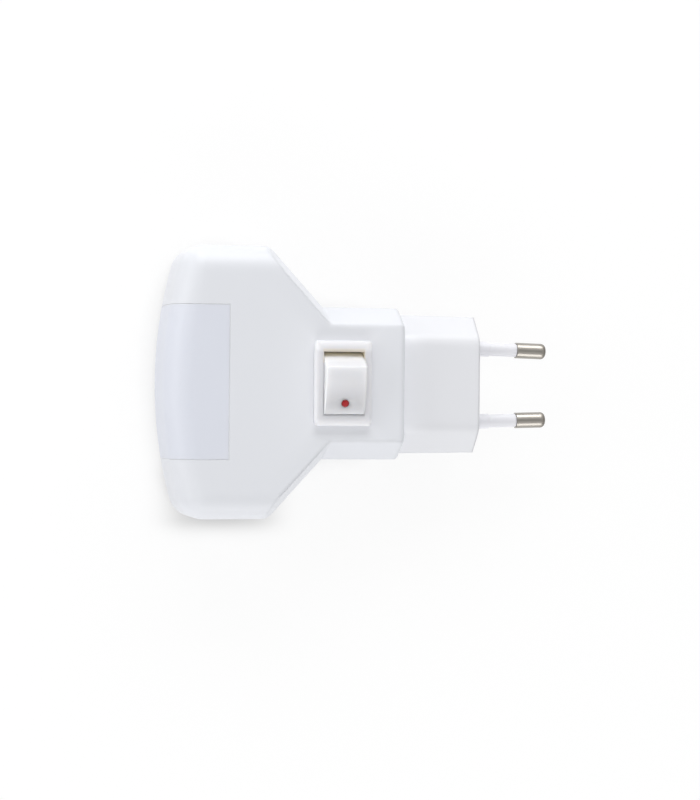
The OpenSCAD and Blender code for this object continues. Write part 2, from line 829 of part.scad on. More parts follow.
module rocker_plunger() {
    r = plunger_d / 2;
    color("silver") on_rocker() {
        translate([0, 0, -plunger_reach + r]) cylinder(r = r, h = plunger_back + plunger_reach - r);
        translate([0, 0, -plunger_reach + r]) sphere(r = r);
    }
}

// Points of a ring of the spring's wire at the turn t of its helix
function spring_ring(t, r, low, pitch) = [for (k = [0 : 5])
    let (turn = 360 * t, out = r + spring_wire / 2 * cos(60 * k))
    [out * cos(turn), out * sin(turn), low + pitch * t + spring_wire / 2 * sin(60 * k)]];

// Closed tube through rings of points that all have the same number of points
module tube(rings) {
    sides = len(rings[0]);
    last = len(rings) - 1;
    polyhedron([for (ring = rings) each ring],
        concat([[for (k = [0 : sides - 1]) k]],
            [for (i = [0 : last - 1], k = [0 : sides - 1])
                [i * sides + k, (i + 1) * sides + k, (i + 1) * sides + (k + 1) % sides,
                    i * sides + (k + 1) % sides]],
            [[for (k = [sides - 1 : -1 : 0]) last * sides + k]]));
}

module plunger_spring() {
    low = plunger_back + spring_wire / 2 + 0.02;
    high = bore_top - spring_wire / 2 - 0.02;
    steps = 10;
    color("gray") on_rocker() tube([for (i = [0 : spring_turns * steps])
        spring_ring(i / steps, spring_d / 2, low, (high - low) / spring_turns)]);
}

// Places what tilts with the see-saw contact: its axis is the origin, and its contact end is at -X
module on_seesaw() {
    translate([0, switch_y, seesaw_z]) rotate([0, -seesaw_tilt, 0]) children();
}

module seesaw_contact() {
    color([0.8, 0.5, 0.3]) on_seesaw() difference() {
        translate([-seesaw_l / 2, -seesaw_w / 2, fulcrum_drop]) cube([seesaw_l, seesaw_w, seesaw_t]);
        rotate([90, 0, 0]) cylinder(d = fulcrum_d + 2 * running, h = 2 * seesaw_w, center = true);
        translate([-rivet_x, 0, 0]) cylinder(d = rivet_shank_d + 0.04, h = 4);
    }
}

module moving_rivet() {
    color("silver") on_seesaw() translate([-rivet_x, 0, 0]) {
        intersection() {
            translate([0, 0, fulcrum_drop - dome_h + dome_r]) sphere(r = dome_r);
            translate([0, 0, fulcrum_drop - dome_h]) cylinder(d = rivet_d, h = dome_h - 0.01);
        }
        translate([0, 0, fulcrum_drop - 0.1]) cylinder(d = rivet_shank_d, h = seesaw_t + 0.2);
        translate([0, 0, fulcrum_drop + seesaw_t + 0.01]) cylinder(d = rivet_d - 0.2, h = 0.25);
    }
}

module fixed_rivet() {
    top = switch_floor + foot_t;
    color("silver") translate([-dome_centre_x, switch_y, 0]) {
        translate([0, 0, top + 0.01]) cylinder(d = rivet_d + 0.4, h = fixed_top - top - 0.01);
        translate([0, 0, switch_floor + 0.05]) cylinder(d = rivet_shank_d, h = foot_t);
    }
}

module common_terminal() {
    notch_w = seesaw_w + 2 * ear_gap;
    ear_top = seesaw_z + fulcrum_drop + seesaw_t + 0.7;
    color([0.85, 0.72, 0.4]) translate([0, switch_y, 0]) {
        difference() {
            translate([-terminal_t / 2, -terminal_w / 2, switch_foot - terminal_l])
                cube([terminal_t, terminal_w, ear_top - switch_foot + terminal_l]);
            translate([-terminal_t, -notch_w / 2, seesaw_z - fulcrum_d / 4])
                cube([2 * terminal_t, notch_w, body_t]);
            translate([0, 0, switch_foot - terminal_l + 1.8]) rotate([0, 90, 0])
                cylinder(d = 1.3, h = 4, center = true);
        }
        translate([0, 0, seesaw_z]) rotate([90, 0, 0])
            cylinder(d = fulcrum_d, h = (notch_w + terminal_w) / 2, center = true);
    }
}

module switched_terminal() {
    foot_l = -side_terminal_x - dome_centre_x + terminal_t / 2 + rivet_d / 2 + 0.3;
    color([0.85, 0.72, 0.4]) difference() {
        translate([side_terminal_x - terminal_t / 2, switch_y - terminal_w / 2, 0]) {
            translate([0, 0, switch_foot - terminal_l])
                cube([terminal_t, terminal_w, switch_floor + foot_t - switch_foot + terminal_l]);
            translate([0, 0, switch_floor + 0.02]) cube([foot_l, terminal_w, foot_t - 0.02]);
        }
        translate([-dome_centre_x, switch_y, 0]) cylinder(d = rivet_shank_d + 0.04, h = body_t);
        translate([side_terminal_x, switch_y, switch_foot - terminal_l + 1.8]) rotate([0, 90, 0])
            cylinder(d = 1.3, h = 4, center = true);
    }
}

// Centres of the lamps along X
function led_places() = [for (i = [0 : led_count - 1]) (i - (led_count - 1) / 2) * led_pitch];

// Tray with flared sides in front of the lamps
module reflector() {
    rim_y = led_y - reflector_l;
    base_y = led_y - play;
    x = reflector_w / 2;
    z = reflector_h / 2;
    color("white") difference() {
        translate([-x, rim_y, -z]) cube([reflector_w, base_y - rim_y, reflector_h]);
        intersection() {
            linear_extrude(2 * z, center = true)
                polygon([[-x + reflector_wall, rim_y], [x - reflector_wall, rim_y],
                    [x - reflector_wall - reflector_flare, base_y - reflector_base],
                    [-x + reflector_wall + reflector_flare, base_y - reflector_base]]);
            along_x(-x, x)
                polygon([[rim_y, -z + reflector_wall], [rim_y, z - reflector_wall],
                    [base_y - reflector_base, z - reflector_wall - reflector_flare],
                    [base_y - reflector_base, -z + reflector_wall + reflector_flare]]);
        }
        both_sides() for (side = [0, 1]) mirror([0, 0, side])
            translate([board_rib_x - board_rib_w / 2 - play, base_y - board_rib_t - play,
                led_board_h / 2 - board_grip - play])
                cube([board_rib_w + 2 * play, board_rib_t + 2 * play, reflector_h]);
        for (x_led = led_places())
            translate([x_led, base_y - reflector_base / 2, 0])
                cube([led_size + 2 * play, 2 * reflector_base, led_size + 2 * play], center = true);
    }
}

module led_board() {
    color([0.92, 0.92, 0.9]) translate([-led_board_w / 2, led_y, -led_board_h / 2])
        cube([led_board_w, board_t, led_board_h]);
}

module leds() {
    color([0.95, 0.95, 0.92]) for (x = led_places()) translate([x, led_y - 0.02, 0]) rotate([90, 0, 0])
        difference() {
            translate([-led_size / 2, -led_size / 2, 0]) cube([led_size, led_size, led_h]);
            translate([0, 0, led_h / 2]) cylinder(d = led_size * 0.76, h = led_h);
        }
}

module led_lenses() {
    color([0.95, 0.8, 0.35]) for (x = led_places()) translate([x, led_y - 0.02, 0]) rotate([90, 0, 0])
        translate([0, 0, led_h / 2 + 0.01]) cylinder(d = led_size * 0.76 - 0.04, h = led_h / 2 - 0.06);
}

module driver_board() {
    color([0.15, 0.45, 0.25]) difference() {
        translate([-driver_w / 2, driver_front, driver_foot + 0.02])
            cube([driver_w, driver_l, board_t - 0.02]);
        both_sides() for (y = [driver_front + post_inset, driver_back - post_inset])
            translate([post_x, y, -half_t]) cylinder(d = peg_d + 2 * play, h = body_t);
    }
}

module film_capacitor() {
    low = driver_top + 0.02;
    color([0.75, 0.6, 0.25]) {
        translate([film_x, film_y, low]) linear_extrude(film_h)
            rounded(box_points(film_l / 2, film_t / 2), [0.6, 0.6, 0.6, 0.6]);
    }
}

module smoothing_capacitor() {
    low = driver_top + 0.02;
    r = can_d / 2 - 0.2;
    color("silver") translate([can_x, can_y, low])
        rotate_extrude() rounded([[0, 0], [r, 0], [r, can_h], [0, can_h]], [0, 0.4, 0.6, 0]);
}

module capacitor_sleeve() {
    low = driver_top + 0.6;
    color([0.15, 0.17, 0.2]) translate([can_x, can_y, low]) difference() {
        cylinder(d = can_d, h = can_h - 1.4);
        translate([0, 0, -1]) cylinder(d = can_d - 0.36, h = can_h + 2);
    }
}

module bridge_rectifier() {
    low = driver_top + 0.02;
    lead = 0.7;
    color([0.12, 0.12, 0.13]) translate([bridge_x, bridge_y, low]) {
        translate([-2.4, -2, 0.2]) cube([4.8, 4, 2.3]);
        for (x = [-1.3, 1.3]) translate([x - lead / 2, -3, 0]) cube([lead, 6, 0.3]);
    }
}

// Resistor lying along X with its two leads bent down to the board
module resistor(x, body_d, body_l, span) {
    height = body_d / 2 + 0.4;
    translate([x, resistor_y, driver_top]) {
        translate([0, 0, height]) rotate([0, 90, 0]) {
            cylinder(d = body_d, h = body_l, center = true);
            cylinder(d = lead_d, h = span + lead_d, center = true);
        }
        for (side = [-1, 1]) translate([side * span / 2, 0, 0.02]) cylinder(d = lead_d, h = height);
    }
}

module fuse_resistor() {
    color([0.35, 0.55, 0.65]) resistor(fuse_x, fuse_d, fuse_l, fuse_span);
}

module bleed_resistor() {
    color([0.8, 0.7, 0.5]) resistor(bleed_x, bleed_d, bleed_l, bleed_span);
}

// Point at the share t of a smooth curve through the points p
function curve_point(p, t) =
    let (last = len(p) - 1, i = min(floor(t * last), last - 1), u = t * last - i,
        a = p[max(i - 1, 0)], b = p[i], c = p[i + 1], d = p[min(i + 2, last)])
    0.5 * (2 * b + (c - a) * u + (2 * a - 5 * b + 4 * c - d) * u * u + (3 * b - 3 * c + d - a) * u * u * u);

// Ring of a wire round the curve's point at t, square to the curve
function wire_ring(p, t, d) =
    let (ahead = curve_point(p, min(t + 0.01, 1)), behind = curve_point(p, max(t - 0.01, 0)),
        along = unit(ahead - behind), across = unit(cross(along, [0.31, 0.13, 0.94])),
        up = cross(across, along), here = curve_point(p, t))
    [for (k = [0 : 7]) here + d / 2 * (across * cos(45 * k) + up * sin(45 * k))];

// Round wire along a smooth curve through points
module wire(points, d) {
    steps = 4 * (len(points) - 1);
    tube([for (i = [0 : steps]) wire_ring(points, i / steps, d)]);
}

// Where a pin's tail ends inside the neck
function tail_end(side) = [side * (pin_gap / 2 - pin_end * sin(pin_angle)), pin_end * cos(pin_angle), 0];

module live_wire() {
    lie = terminal_t / 2 + wire_d / 2 + running;
    low = switch_foot - terminal_l * 0.45;
    start = tail_end(-1) - [0, 0.1, 0];
    color([0.45, 0.25, 0.12]) wire([start, start + [0, -0.7, -0.12], start + [0.3, -1.7, -1.5],
        [start[0] * 0.8, switch_y + 4.5, low + 0.6], [-lie - 3.4, switch_y + 4, low],
        [-lie - 0.8, switch_y + 3.1, low], [-lie, switch_y + 1.2, low], [-lie, switch_y - 1, low]], wire_d);
}

module switched_wire() {
    x = side_terminal_x - terminal_t / 2 - wire_d / 2 - running;
    low = switch_foot - terminal_l * 0.5;
    rest = driver_top + wire_d / 2 + running;
    color([0.2, 0.2, 0.22]) wire([[x, switch_y + 1.4, low], [x, switch_y - 2, low],
        [x + 1, switch_y - 5.5, low], [x + 3, driver_back + 1.6, (low + rest) / 2 + 0.4],
        [x + 4.4, driver_back - 1, rest + 0.1], [x + 4.6, driver_back - 2.6, rest]], wire_d);
}

module neutral_wire() {
    channel = (switch_body_l / 2 + half_neck - wall) / 2;
    rest = driver_top + wire_d / 2 + running;
    start = tail_end(1) - [0, 0.1, 0];
    color([0.2, 0.35, 0.7]) wire([start, start + [0, -0.7, -0.1], start + [0.5, -1.7, -0.8],
        [channel, switch_y + 3, -3],
        [channel, switch_y - 5, -4], [channel - 3, driver_back + 2, (rest - 4) / 2],
        [can_x + 1.6, driver_back - 0.2, rest + 0.1], [can_x + 0.4, driver_back - 1.2, rest]], wire_d);
}

// Short wire from the driver board's front edge up to the back of the light board
module led_wire(x) {
    foot = driver_front + 0.7;
    color([0.7, 0.1, 0.1]) wire([[x, foot, driver_top + 0.05], [x, foot, driver_top + 1.2],
        [x, foot - 0.3, driver_top + 2.6], [x, led_back_y + 0.6, driver_top + 3.4],
        [x, led_back_y + 0.08, driver_top + 3.5]], led_wire_d);
}

module led_wire_plus() {
    led_wire(film_x);
}

module led_wire_minus() {
    led_wire(film_x + 4);
}

upper_shell();
lower_shell();
diffuser();
housing_screws();
plug_body();
live_pin();
neutral_pin();
live_sleeve();
neutral_sleeve();
switch_frame();
rocker();
red_dot();
rocker_plunger();
plunger_spring();
seesaw_contact();
moving_rivet();
fixed_rivet();
common_terminal();
switched_terminal();
reflector();
led_board();
leds();
led_lenses();
driver_board();
film_capacitor();
smoothing_capacitor();
capacitor_sleeve();
bridge_rectifier();
fuse_resistor();
bleed_resistor();
live_wire();
switched_wire();
neutral_wire();
led_wire_plus();
led_wire_minus();
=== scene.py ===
# Plug-in night light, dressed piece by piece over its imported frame. Sizes are in metres: MM turns
# millimetres into them. The order is that of the object: room, housing, plug, switch, light, driver.
import math

import bmesh
import bpy
from mathutils import Matrix, Vector


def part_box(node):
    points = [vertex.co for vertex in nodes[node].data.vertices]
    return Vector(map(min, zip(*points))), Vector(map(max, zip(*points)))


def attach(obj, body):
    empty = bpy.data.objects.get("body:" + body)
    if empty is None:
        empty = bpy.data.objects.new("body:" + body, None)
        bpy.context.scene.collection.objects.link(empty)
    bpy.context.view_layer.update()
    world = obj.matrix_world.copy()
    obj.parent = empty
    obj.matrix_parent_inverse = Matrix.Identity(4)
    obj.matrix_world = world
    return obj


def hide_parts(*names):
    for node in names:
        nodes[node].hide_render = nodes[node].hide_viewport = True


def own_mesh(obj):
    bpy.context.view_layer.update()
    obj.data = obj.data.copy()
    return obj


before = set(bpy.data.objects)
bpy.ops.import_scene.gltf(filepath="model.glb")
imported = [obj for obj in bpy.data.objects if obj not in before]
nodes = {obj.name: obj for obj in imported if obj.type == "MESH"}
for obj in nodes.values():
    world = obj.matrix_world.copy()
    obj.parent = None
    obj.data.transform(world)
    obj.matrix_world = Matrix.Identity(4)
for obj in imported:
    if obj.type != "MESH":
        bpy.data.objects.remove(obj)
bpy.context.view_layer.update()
MM = 0.001


# ---- Room -----------------------------------------------------------------------------------------
# A pale table on which the night light lies, in a white room whose ceiling and two walls are greyer.
# Four wide soft lamps: one from the rocker's raised side, one across from it, one at each end.

class Shade:
    """A socket of a material. Sums on values add Math nodes; any other node comes from node()."""

    def __init__(self, tree, socket=None):
        self.tree = tree
        self.socket = socket

    def node(self, kind, settings=None, sockets=None, out=0):
        made = self.tree.nodes.new("ShaderNode" + kind)
        for key, value in (settings or {}).items():
            if key == "stops":
                ramp = made.color_ramp.elements
                ramp[0].position, ramp[0].color = value[0]
                ramp[1].position, ramp[1].color = value[-1]
                for spot, colour in value[1:-1]:
                    ramp.new(spot).color = colour
            else:
                setattr(made, key, value)
        for key, value in (sockets or {}).items():
            if isinstance(value, Shade):
                self.tree.links.new(value.socket, made.inputs[key])
            else:
                made.inputs[key].default_value = value
        return Shade(self.tree, made.outputs[out])

    def mix(self, low, high):
        """The colour low where this value is 0, and high where it is 1."""
        return self.node("Mix", {"data_type": "RGBA"}, {0: self, 6: low, 7: high}, 2)

    def ease(self, start, end):
        """0 up to start, 1 from end on, and a smooth change between them."""
        return self.node("MapRange", {"interpolation_type": "SMOOTHSTEP"},
                         {"Value": self, "From Min": start, "From Max": end})

    def axis(self, name):
        """One coordinate of a place."""
        return self.node("SeparateXYZ", None, {0: self}, name)

    def sum(self, operation, first, second=0.0):
        return self.node("Math", {"operation": operation}, {0: first, 1: second})

    def __add__(self, other):
        return self.sum("ADD", self, other)

    __radd__ = __add__

    def __mul__(self, other):
        return self.sum("MULTIPLY", self, other)

    __rmul__ = __mul__

    def __sub__(self, other):
        return self.sum("SUBTRACT", self, other)

    def __rsub__(self, other):
        return self.sum("SUBTRACT", other, self)

    def __lt__(self, other):
        return self.sum("LESS_THAN", self, other)

    def __gt__(self, other):
        return self.sum("GREATER_THAN", self, other)

    def __abs__(self):
        return self.sum("ABSOLUTE", self)


def tone(red, green, blue):
    """A colour of the 8-bit scale as linear light."""
    parts = [v / 255 for v in (red, green, blue)]
    return (*[v / 12.92 if v < 0.04045 else ((v + 0.055) / 1.055) ** 2.4 for v in parts], 1)


def new_finish(name, **constant):
    """A material whose one shader has its constant sockets set, and its object coordinates."""
    made = bpy.data.materials.new(name)
    made.use_nodes = True
    shader = made.node_tree.nodes["Principled BSDF"]
    shader.inputs["Coat Roughness"].default_value = 0.06
    for key, value in constant.items():
        shader.inputs[key.replace("_", " ")].default_value = value
    return made, Shade(made.node_tree).node("TexCoord", out="Object")


def feed(made, **varied):
    """Links what varies over the surface to the shader: Base_Color, Roughness, Metallic, Normal."""
    shader = made.node_tree.nodes["Principled BSDF"]
    for key, value in varied.items():
        made.node_tree.links.new(value.socket, shader.inputs[key.replace("_", " ")])


def grain(place, per_mm, detail=2.0, rough=0.5):
    """Noise from 0 to 1 with so many grains to the millimetre."""
    return place.node("TexNoise", None, {"Vector": place, "Scale": per_mm / MM, "Detail": detail,
                                         "Roughness": rough})


def relief(height, depth, edge=0.0, strength=1.0):
    """Normal of a surface with relief of this depth, whose sharp edges look rounded by edge."""
    sockets = {"Height": height, "Distance": depth, "Strength": strength}
    if edge:
        sockets["Normal"] = height.node("Bevel", {"samples": 8}, {"Radius": edge})
    return height.node("Bump", None, sockets)


def seen_ray(shade):
    """1 for rays that the camera, gloss and glass send out, 0 for light on its way."""
    kinds = [shade.node("LightPath", out=name) for name in
             ("Is Camera Ray", "Is Glossy Ray", "Is Transmission Ray")]
    return shade.sum("MAXIMUM", kinds[0], shade.sum("MAXIMUM", kinds[1], kinds[2]))


world = bpy.data.worlds.new("white_room")
world.use_nodes = True
bpy.context.scene.world = world
room = Shade(world.node_tree)
SKY, GREY = 0.46, 0.36
outlook = room.node("TexCoord", out="Generated")
ceiling = outlook.axis("Z").ease(0.84, 0.98)
far_wall = outlook.axis("Y").ease(0.75, 0.97)
right_wall = outlook.axis("X").ease(0.3, 0.9) * 0.7
gloss = room.node("LightPath", out="Is Glossy Ray")
dimmed = room.sum("MAXIMUM", right_wall, room.sum("MAXIMUM", ceiling, far_wall))
strength = (seen_ray(room) * (1 - SKY) + SKY) * (1 - dimmed * gloss * (1 - GREY))
backdrop = world.node_tree.nodes["Background"]
world.node_tree.links.new(strength.socket, backdrop.inputs["Strength"])
backdrop.inputs["Color"].default_value = (1, 1, 1, 1)


def keep_mesh(bm, name, body=None):
    """Closes a bmesh into a piece, which rides on a body if one is named."""
    mesh = bpy.data.meshes.new(name)
    bm.to_mesh(mesh)
    bm.free()
    piece = bpy.data.objects.new(name, mesh)
    bpy.context.scene.collection.objects.link(piece)
    if body:
        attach(piece, body)
    return piece


# The table reflects little and glows, so that it stays white round a faint shadow. A pool of shade
# under the head's far side, and a darker zone close to whatever rests on the table, are matched to
# the shadow in the photograph.
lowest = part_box("lower_shell")[0].z
bm = bmesh.new()
bmesh.ops.create_circle(bm, cap_ends=True, segments=96, radius=3,
                        matrix=Matrix.Translation((0, -32 * MM, lowest - 0.02 * MM)))
table = keep_mesh(bm, "table")
paper, place = new_finish("pale_table", Specular_IOR_Level=0.0)
shown = seen_ray(place)
pool_x, pool_y, pool_half, fade_x, fade_y = (v * MM for v in (29.1, -62.4, 5.1, 3.2, 14))
under = abs(place.axis("X") - pool_x) - pool_half
out_x = under.sum("MAXIMUM", under) * (1 / fade_x)
out_y = (place.axis("Y") - pool_y) * (1 / fade_y)
flat_y = out_y * out_y
pool = place.sum("EXPONENT", (out_x * out_x + flat_y * flat_y) * -1.0)
open_sky = place.node("AmbientOcclusion", {"samples": 8}, {"Distance": 10 * MM}, "AO")
contact = (1 - open_sky).ease(0.3, 1.0)
feed(paper, Base_Color=shown.mix(tone(225, 225, 226), (0.14, 0.14, 0.14, 1)),
     Roughness=grain(place, 0.6) * 0.02 + 0.9)
plain = Shade(paper.node_tree, paper.node_tree.nodes["Principled BSDF"].outputs[0])
glow = place.node("Emission", None, {"Color": (1, 1, 1, 1),
                                     "Strength": shown * (0.86 - pool * 0.31 - contact * 0.36)},
                  "Emission")
near = place.node("AddShader", None, {0: plain, 1: glow})
reach = place.node("VectorMath", {"operation": "LENGTH"}, {0: place}, "Value")
white = place.node("Emission", None, {"Color": (1, 1, 1, 1), "Strength": 1.0}, "Emission")
end = place.node("MixShader", None, {0: reach.ease(0.14, 0.40) * shown, 1: near, 2: white})
paper.node_tree.links.new(end.socket, paper.node_tree.nodes["Material Output"].inputs["Surface"])
table.data.materials.append(paper)


def lamp(name, spot, aim, wide, tall, watts):
    """A soft rectangular lamp at spot that faces aim."""
    light = bpy.data.lights.new(name, "AREA")
    light.shape, light.size, light.size_y, light.energy = "RECTANGLE", wide, tall, watts
    made = bpy.data.objects.new(name, light)
    made.location = spot
    made.rotation_euler = (Vector(aim) - Vector(spot)).to_track_quat("-Z", "Y").to_euler()
    bpy.context.scene.collection.objects.link(made)
    return made


middle = Vector((0, -32, 0)) * MM
lamp("lamp_key", (-0.55, -0.05, 0.24), middle, 0.7, 0.35, 2.85)
lamp("lamp_fill", (0.55, -0.02, 0.22), middle, 0.7, 0.35, 2.0)
lamp("lamp_front", (-0.05, -0.60, 0.22), middle, 0.5, 0.3, 1.05)
plug_end = lamp("lamp_plug_end", (-0.10, 0.50, 0.30), middle, 0.5, 0.3, 0.30)
plug_end.visible_glossy = False

# Camera: looks down on the switch side, 13.6 degrees towards the curved front
tilt, roll, away = math.radians(13.6), math.radians(0.5), 0.56
target = Vector((4.1, -32.0, 0)) * MM
back = Vector((0, -math.sin(tilt), math.cos(tilt)))
side = Vector((0, math.cos(tilt), math.sin(tilt)))
up = Vector((-1, 0, 0))
right = side * math.cos(roll) + up * math.sin(roll)
upward = up * math.cos(roll) - side * math.sin(roll)
camera = bpy.data.cameras.new("camera")
camera.lens = 99.97
camera.clip_start, camera.clip_end = 0.01, 20
eye = bpy.data.objects.new("camera", camera)
eye.matrix_world = Matrix.Translation(target + away * back) @ Matrix(
    (right, upward, back)).transposed().to_4x4()
bpy.context.scene.collection.objects.link(eye)
bpy.context.scene.camera = eye
bpy.context.scene.view_settings.view_transform = "Standard"


# ---- Shells ---------------------------------------------------------------------------------------
# Two shells moulded in white satin plastic with a cool cast. They meet in a seam all round and are
# held by two screws from below. Outer edges are soft, and those at the seam and the notch are crisp.
# Round the switch the plastic is painted a little paler: painted light that lifts the bezel's shade.

def moulded(name, colour, rough, edge, cloud=0.012, depth=0.004, per_mm=5, pale=None, **constant):
    """Moulded plastic: faint clouds in its colour, a fine grain and softly rounded edges. edge is a
    radius in millimetres, or a function that works it out from the place. pale gives, from the
    place, 1 where the plastic is painted paler: painted light that lifts nearby shade."""
    made, place = new_finish(name, **constant)
    drift = grain(place, 0.035, 3)
    specks = grain(place, per_mm)
    light = tuple(min(1, c * (1 + cloud)) for c in colour[:3]) + (1,)
    dark = tuple(c * (1 - cloud) for c in colour[:3]) + (1,)
    rounding = edge(place) if callable(edge) else edge * MM
    shade = drift.mix(dark, light)
    # Where pale is 1 the colour is painted paler: painted light.
    if pale:
        shade = pale(place).mix(shade, tone(246, 247, 251))
    feed(made, Base_Color=shade,
         Roughness=drift * 0.05 + specks * 0.04 + (rough - 0.045),
         Normal=relief(specks, depth * MM, rounding))
    return made


def dress(made, *names):
    """Gives CAD nodes their finish."""
    for name in names:
        mesh = nodes[name].data
        mesh.materials.clear()
        mesh.materials.append(made)


def shell_edges(place):
    """0.2 mm at the seam between the shells and round the diffuser's notch, 1.7 mm elsewhere."""
    notch_x, notch_y = 20.4 * MM, -63.7 * MM
    notch = (abs(place.axis("X")) < notch_x) * (place.axis("Y") < notch_y)
    off_seam = abs(place.axis("Z")).ease(1.2 * MM, 4 * MM)
    return (1 - notch) * off_seam * (1.5 * MM) + 0.2 * MM


switch_y = -37 * MM


def painted_light_by_switch(place):
    """Up to 0.4 on the neck's flat top, round the bezel of the switch: painted light on its shade."""
    bezel_x, bezel_y = 10.5 * MM, 7.2 * MM
    over_x = abs(place.axis("X")) - bezel_x
    over_y = abs(place.axis("Y") - switch_y) - bezel_y
    off = place.sum("MAXIMUM", place.sum("MAXIMUM", over_x, over_y))
    top = place.axis("Z").ease(11.9 * MM, 12.4 * MM)
    return top * place.sum("EXPONENT", off * (-1 / (4 * MM))) * 0.4


dress(moulded("housing_white", tone(223, 225, 230), 0.42, shell_edges, pale=painted_light_by_switch),
      "upper_shell", "lower_shell")


# ---- Diffuser -------------------------------------------------------------------------------------
# A milky, faintly lavender cover in front of the lamps, with a finer grain than the shells, so that
# it shines softly. It is clipped under the shells' ledge and lies flush with them, on a thin white
# gasket that fills most of the seam.

dress(moulded("diffuser_milk", tone(218, 221, 230), 0.5, 0.08, 0.006, 0.002, 8,
              Coat_Weight=0.1, Subsurface_Weight=0.2, Subsurface_Scale=1.0 * MM,
              Subsurface_Radius=(1, 1, 1)), "diffuser")
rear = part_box("diffuser")[1]
inset, spread, length, touch = 0.06 * MM, 0.085 * MM, 15.45 * MM, 0.01 * MM
bm = bmesh.new()
bm.from_mesh(nodes["diffuser"].data)
bmesh.ops.remove_doubles(bm, verts=bm.verts, dist=0.002 * MM)
for v in bm.verts:
    if abs(v.co.x) > rear.x - touch:
        v.co.x += math.copysign(spread, v.co.x)
    behind = rear.y - v.co.y
    v.co.y = rear.y + spread if behind < touch else rear.y - behind * (1 - inset / length)
    v.co.z *= 1 - inset / rear.z
bmesh.ops.recalc_face_normals(bm, faces=bm.faces)
gasket = keep_mesh(bm, "seam_gasket", "housing")
gasket.data.materials.append(moulded("gasket_white", tone(242, 242, 245), 0.6, 0.02, 0.01, 0.002, 6))


# ---- Screws ---------------------------------------------------------------------------------------
# Two zinc-plated screws with a cross recess, sunk in wells of the lower shell. Rolled and plated
# steel: bright, a little cloudy, with fine scratches round the head.

def metal(name, dark, light, rough, edge=0.1, stretch=(1, 1, 1), per_mm=6, depth=0.002, worn_and_painted_shade=None):
    """Worn metal: its colour and gloss change in fine streaks, drawn out where stretch is small. Its
    last argument gives, from the place, 1 where rubbing has made it dull and where it is painted darker
    with painted shade."""
    made, place = new_finish(name, Metallic=1.0)
    drawn = place.node("Mapping", None, {"Vector": place, "Scale": stretch})
    streaks = grain(drawn, per_mm, 3, 0.6)
    stains = grain(place, 0.25, 3)
    colour = (streaks * 0.6 + stains * 0.4).mix(dark, light)
    gloss = streaks * 0.12 + stains * 0.08 + (rough - 0.1)
    if worn_and_painted_shade:
        # Rubbed places get duller, and their colour is painted darker: painted shade.
        rubbed_and_shaded = worn_and_painted_shade(place)
        colour = (rubbed_and_shaded * 0.5).mix(colour, tone(104, 97, 88))
        gloss = gloss + rubbed_and_shaded * 0.2
    feed(made, Base_Color=colour, Roughness=gloss, Normal=relief(streaks, depth * MM, edge * MM))
    return made


dress(metal("screw_zinc", tone(168, 172, 176), tone(206, 209, 212), 0.34), "housing_screws")


# ---- Plug body ------------------------------------------------------------------------------------
# A flat six-sided block that the shells clamp by its flange, moulded in the same white. Its long
# edges are softer than the shells' own, and its flat sides are painted paler close to the neck:
# painted light that lifts the shade of the neck's step.

def painted_light_near_neck(place):
    """1 on the flat sides where they leave the neck, and less away from it: painted light there."""
    neck_end = -19.4 * MM
    off_neck = place.axis("Y") - neck_end
    flat = abs(place.axis("Z")).ease(5.4 * MM, 6.7 * MM)
    return flat * place.sum("EXPONENT", off_neck * (-1 / (3 * MM)))


dress(moulded("plug_white", tone(227, 228, 232), 0.4, 1.2, pale=painted_light_near_neck), "plug_body")


# ---- Pins -----------------------------------------------------------------------------------------
# Turned brass with a nickel plate, bare at the ends. Use in sockets has drawn fine streaks along
# them and rubbed the round tips dull. The tips are also painted darker: painted shade.

def pin_tip(place):
    """1 on the round tips."""
    return place.axis("Y").ease(17.6 * MM, 18.9 * MM)


dress(metal("pin_nickel", tone(153, 148, 141), tone(174, 170, 164), 0.3, 0.2, (1, 0.12, 1), 5, 0.0012,
            worn_and_painted_shade=pin_tip), "live_pin", "neutral_pin")


# ---- Sleeves --------------------------------------------------------------------------------------
# Insulating sleeves shrunk on the pins' inner half, thicker where they enter the plug's face. Softer
# plastic than the plug, with hardly any grain.

dress(moulded("sleeve_white", tone(231, 231, 236), 0.42, 0.2, 0.008, 0.0015), "live_sleeve",
      "neutral_sleeve")


# ---- Switch frame ---------------------------------------------------------------------------------
# The raised bezel and the switch's body are one piece of glossy nylon, which clips hold in the upper
# shell. Its tint follows the photograph and is painted light and shade: a painted creamy glow in the
# mouth at the rocker's raised end, painted whiter light at its two ends and on the side towards the
# head, and a greyer white elsewhere. The bezel's two ends are rounder than its sides.

frame_white, place = new_finish("switch_white", Subsurface_Weight=0.5, Subsurface_Scale=1.5 * MM,
                                Subsurface_Radius=(1, 0.95, 0.88), IOR=1.45)
fine = grain(place, 6)
drift = grain(place, 0.1, 3)
face_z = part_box("switch_frame")[1].z
x, y, z = (place.axis(name) for name in "XYZ")
along, across = abs(x), abs(y - switch_y)
